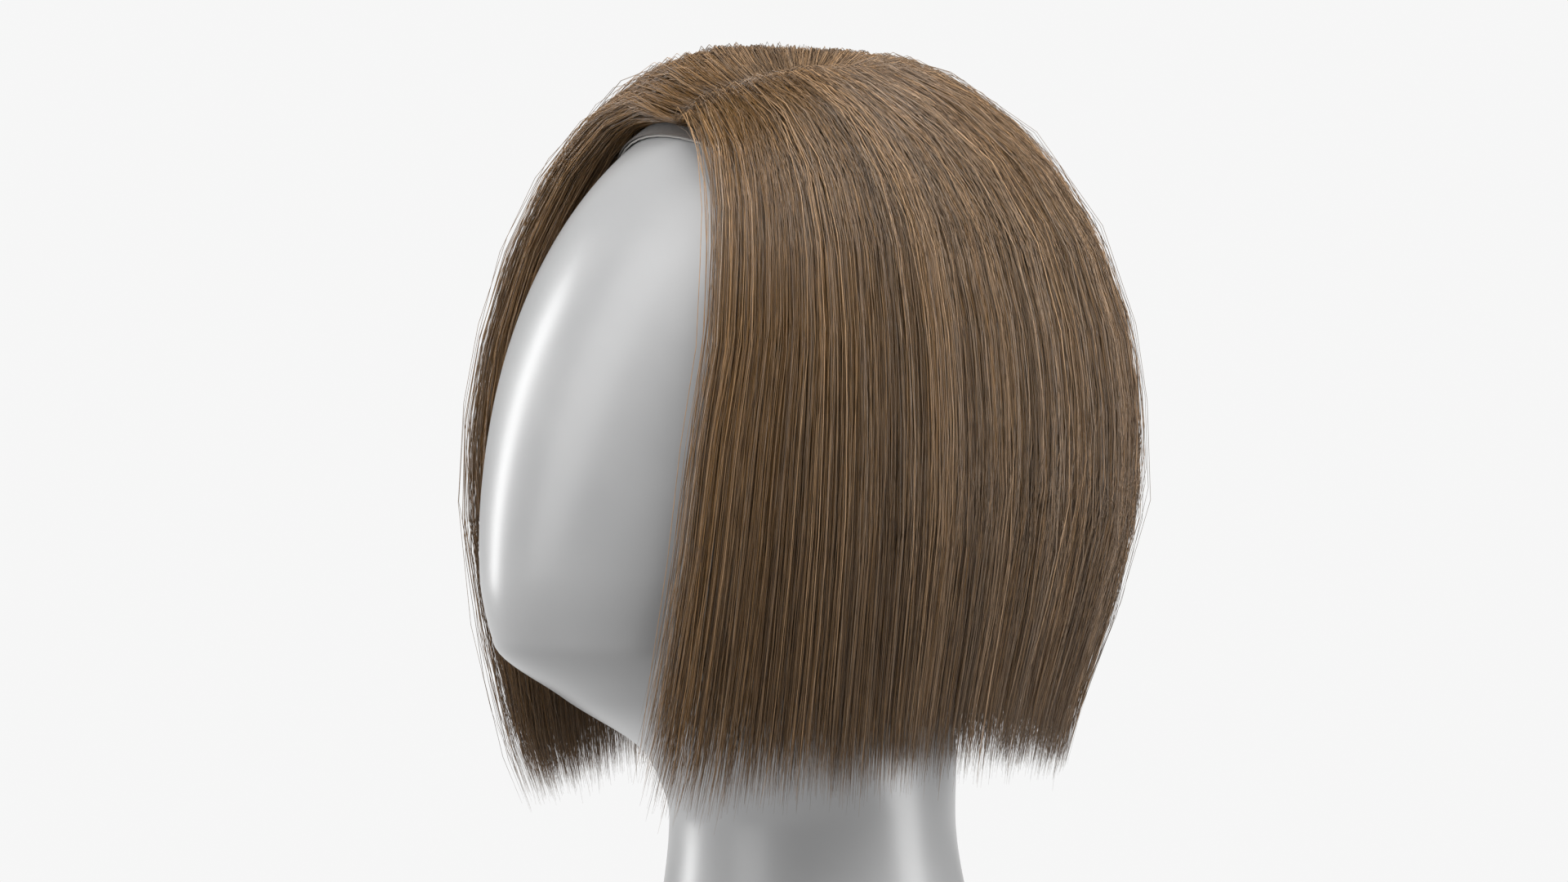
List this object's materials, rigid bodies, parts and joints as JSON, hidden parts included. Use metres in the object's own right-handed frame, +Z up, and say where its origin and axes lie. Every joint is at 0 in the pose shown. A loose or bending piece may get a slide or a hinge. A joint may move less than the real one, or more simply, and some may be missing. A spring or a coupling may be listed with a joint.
{
  "type": "mannequin training head with wig",
  "caption": "Faceless glossy grey mannequin head on a flared neck, with a removable side-parted brown bob wig and a holder socket in its foot",
  "frame": {"origin": "centre of the foot's flat underside, at the mouth of the holder socket", "axes": "+Z up through the crown, the face looks along -Y, the head's own left side is +X"},
  "size_m": [0.208, 0.2601, 0.3658],
  "materials": {
    "head_lacquer": "satin-gloss mid-grey lacquer over the moulded shell",
    "foot_rubber": "matt black rubber ring",
    "plate_steel": "black powder-coated steel",
    "plug_wood": "bare turned beech",
    "screw_steel": "zinc-plated steel",
    "socket_steel": "bright drawn steel tube",
    "cap_net": "dark brown stretch net",
    "front_lace": "sheer brown lace",
    "cap_tape": "dark brown woven binding tape",
    "parting_skin": "fine knotted parting skin",
    "stay_metal": "soft flat stay",
    "weft_thread": "machine-sewn weft header",
    "elastic": "flat woven elastic",
    "hook_plastic": "dark moulded nylon",
    "hair_fibre": "straight brown fibre hair with tan and ash streaks"
  },
  "bodies": {
    "head": {"head_shell": "head_lacquer", "neck_shell": "head_lacquer", "foot_pad": "foot_rubber", "ballast_plate": "plate_steel", "neck_plug": "plug_wood", "plate_screws": "screw_steel", "socket_bush": "socket_steel", "socket_stop": "plug_wood"},
    "wig": {"crown_net": "cap_net", "front_lace": "front_lace", "edge_binding": "cap_tape", "parting_strip": "parting_skin", "ear_tab_left": "cap_net", "ear_tab_right": "cap_net", "ear_stay_left": "stay_metal", "ear_stay_right": "stay_metal", "nape_net": "cap_net", "nape_band": "cap_tape", "hook_loops": "cap_tape", "strap_casing_left": "cap_tape", "strap_casing_right": "cap_tape", "weft_rows_back": "weft_thread", "weft_rows_left": "weft_thread", "weft_rows_right": "weft_thread", "hair_crown_left": "hair_fibre", "hair_crown_right": "hair_fibre", "hair_fringe": "hair_fibre", "hair_front_left": "hair_fibre", "hair_side_left": "hair_fibre", "hair_back_left": "hair_fibre", "hair_front_right": "hair_fibre", "hair_side_right": "hair_fibre", "hair_back_right": "hair_fibre"},
    "strap_left": {"adjuster_strap_left": "elastic", "strap_hook_left": "hook_plastic"},
    "strap_right": {"adjuster_strap_right": "elastic", "strap_hook_right": "hook_plastic"}
  },
  "joints": [
    {"name": "wig_lift", "type": "slide", "parent": "head", "child": "wig", "axis": [0, 0, 1], "range_m": [0, 0.28]},
    {"name": "adjust_left", "type": "hinge", "parent": "wig", "child": "strap_left", "pos_m": [0, 0.014, 0.165], "axis": [0, 0, 1], "range_deg": [0, 10]},
    {"name": "adjust_right", "type": "hinge", "parent": "wig", "child": "strap_right", "pos_m": [0, 0.014, 0.165], "axis": [0, 0, -1], "range_deg": [0, 10]}
  ]
}
